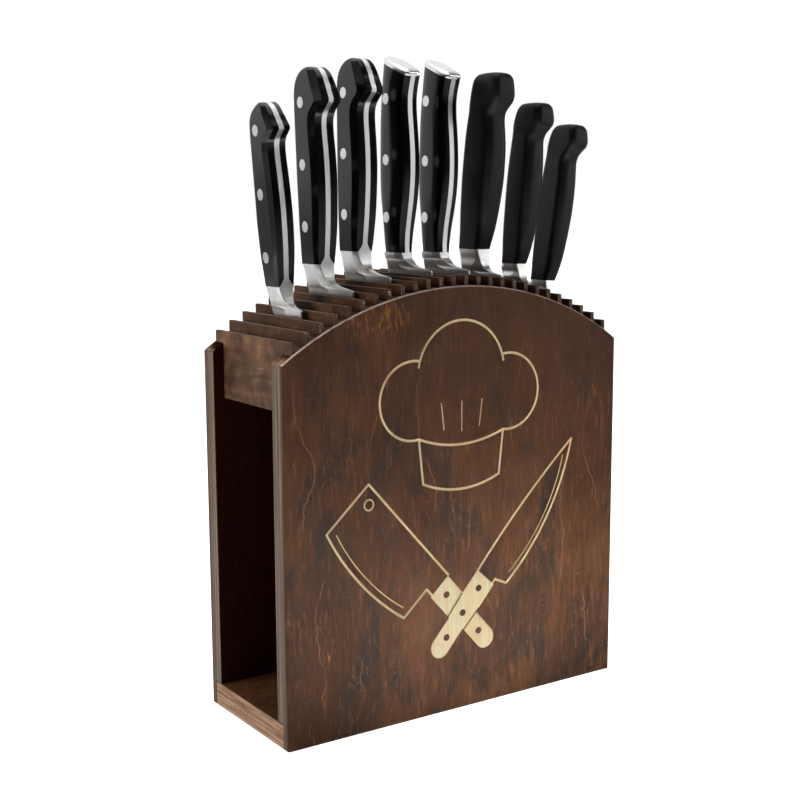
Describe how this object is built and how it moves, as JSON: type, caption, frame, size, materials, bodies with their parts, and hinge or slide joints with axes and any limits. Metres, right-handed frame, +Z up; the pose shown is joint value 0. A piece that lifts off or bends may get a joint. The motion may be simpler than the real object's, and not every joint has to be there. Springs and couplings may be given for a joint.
{
  "type": "knife block with knives",
  "caption": "Upright stained-plywood knife block with an arched slatted top, open sides and kitchen knives hanging between the slats.",
  "frame": {"origin": "middle of the base, on the surface it stands on", "axes": "+X to the right seen from the front, front panel toward -Y, +Z up"},
  "size_m": [0.242, 0.095, 0.3927],
  "materials": {
    "stained_panel": "dark stained plywood, satin, with light engraved lines",
    "bottom_ply": "stained plywood with visible layers on the edge",
    "slat_ply": "stained thin plywood",
    "forged_steel": "satin ground",
    "rivet_steel": "ground flush",
    "cap_steel": "polished",
    "riveted_black": "satin",
    "moulded_black": "soft matte"
  },
  "bodies": {
    "block": {"front_panel": "stained_panel", "back_panel": "stained_panel", "bottom_board": "bottom_ply", "slat_01": "slat_ply", "slat_02": "slat_ply", "slat_03": "slat_ply", "slat_04": "slat_ply", "slat_05": "slat_ply", "slat_06": "slat_ply", "slat_07": "slat_ply", "slat_08": "slat_ply", "slat_09": "slat_ply", "slat_10": "slat_ply", "slat_11": "slat_ply", "slat_12": "slat_ply", "slat_13": "slat_ply", "slat_14": "slat_ply", "slat_15": "slat_ply", "slat_16": "slat_ply", "slat_17": "slat_ply", "slat_18": "slat_ply", "slat_19": "slat_ply", "slat_20": "slat_ply", "slat_21": "slat_ply", "slat_22": "slat_ply", "slat_23": "slat_ply", "slat_24": "slat_ply", "slat_25": "slat_ply", "slat_26": "slat_ply"},
    "knife_1": {"knife_1_blade": "forged_steel", "knife_1_scale_left": "riveted_black", "knife_1_scale_right": "riveted_black", "knife_1_rivets": "rivet_steel"},
    "knife_2": {"knife_2_blade": "forged_steel", "knife_2_scale_left": "riveted_black", "knife_2_scale_right": "riveted_black", "knife_2_rivets": "rivet_steel"},
    "knife_3": {"knife_3_blade": "forged_steel", "knife_3_scale_left": "riveted_black", "knife_3_scale_right": "riveted_black", "knife_3_rivets": "rivet_steel"},
    "knife_4": {"knife_4_blade": "forged_steel", "knife_4_scale_left": "riveted_black", "knife_4_scale_right": "riveted_black", "knife_4_rivets": "rivet_steel", "knife_4_cap": "cap_steel"},
    "knife_5": {"knife_5_blade": "forged_steel", "knife_5_scale_left": "riveted_black", "knife_5_scale_right": "riveted_black", "knife_5_rivets": "rivet_steel", "knife_5_cap": "cap_steel"},
    "knife_6": {"knife_6_blade": "forged_steel", "knife_6_handle": "moulded_black"},
    "knife_7": {"knife_7_blade": "forged_steel", "knife_7_handle": "moulded_black"},
    "knife_8": {"knife_8_blade": "forged_steel", "knife_8_handle": "moulded_black"}
  },
  "joints": [
    {"name": "knife_1_lift", "type": "slide", "parent": "block", "child": "knife_1", "axis": [-0.0698, 0, 0.9976], "range_m": [0, 0.17]},
    {"name": "knife_2_lift", "type": "slide", "parent": "block", "child": "knife_2", "axis": [-0.0262, 0, 0.9997], "range_m": [0, 0.21]},
    {"name": "knife_3_lift", "type": "slide", "parent": "block", "child": "knife_3", "axis": [0.0052, 0, 1], "range_m": [0, 0.21]},
    {"name": "knife_4_lift", "type": "slide", "parent": "block", "child": "knife_4", "axis": [0.0017, 0, 1], "range_m": [0, 0.21]},
    {"name": "knife_5_lift", "type": "slide", "parent": "block", "child": "knife_5", "axis": [0.0192, 0, 0.9998], "range_m": [0, 0.21]},
    {"name": "knife_6_lift", "type": "slide", "parent": "block", "child": "knife_6", "axis": [0, 0, 1], "range_m": [0, 0.19]},
    {"name": "knife_7_lift", "type": "slide", "parent": "block", "child": "knife_7", "axis": [0.0105, 0, 0.9999], "range_m": [0, 0.17]},
    {"name": "knife_8_lift", "type": "slide", "parent": "block", "child": "knife_8", "axis": [0.0576, 0, 0.9983], "range_m": [0, 0.14]}
  ]
}
